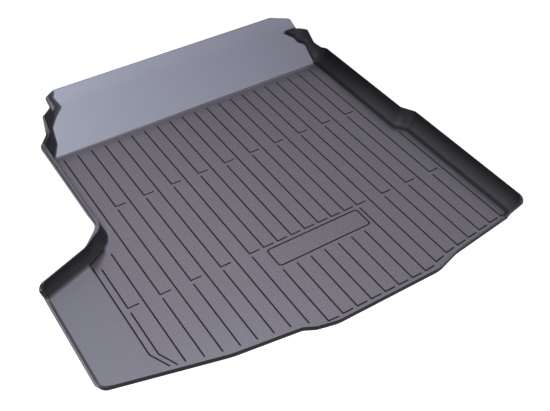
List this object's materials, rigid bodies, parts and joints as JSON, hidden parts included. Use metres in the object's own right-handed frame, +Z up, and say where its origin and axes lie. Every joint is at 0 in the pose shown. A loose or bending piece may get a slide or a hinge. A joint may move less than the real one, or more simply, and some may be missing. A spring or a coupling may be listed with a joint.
{
  "type": "car boot liner",
  "caption": "Moulded boot liner: flat grooved floor with a low front lip, raised side walls, a side pocket and a panel folded up at the back.",
  "frame": {"origin": "middle of the bounding box, on the flat underside", "axes": "+X across the boot towards the straight right wall, +Y from the loading edge to the folded back panel, +Z up"},
  "size_m": [1.3014, 1.1542, 0.1473],
  "materials": {
    "rubber": "matt, fine grained, dark grey"
  },
  "bodies": {
    "root": {"boot_liner": "rubber"}
  },
  "joints": []
}
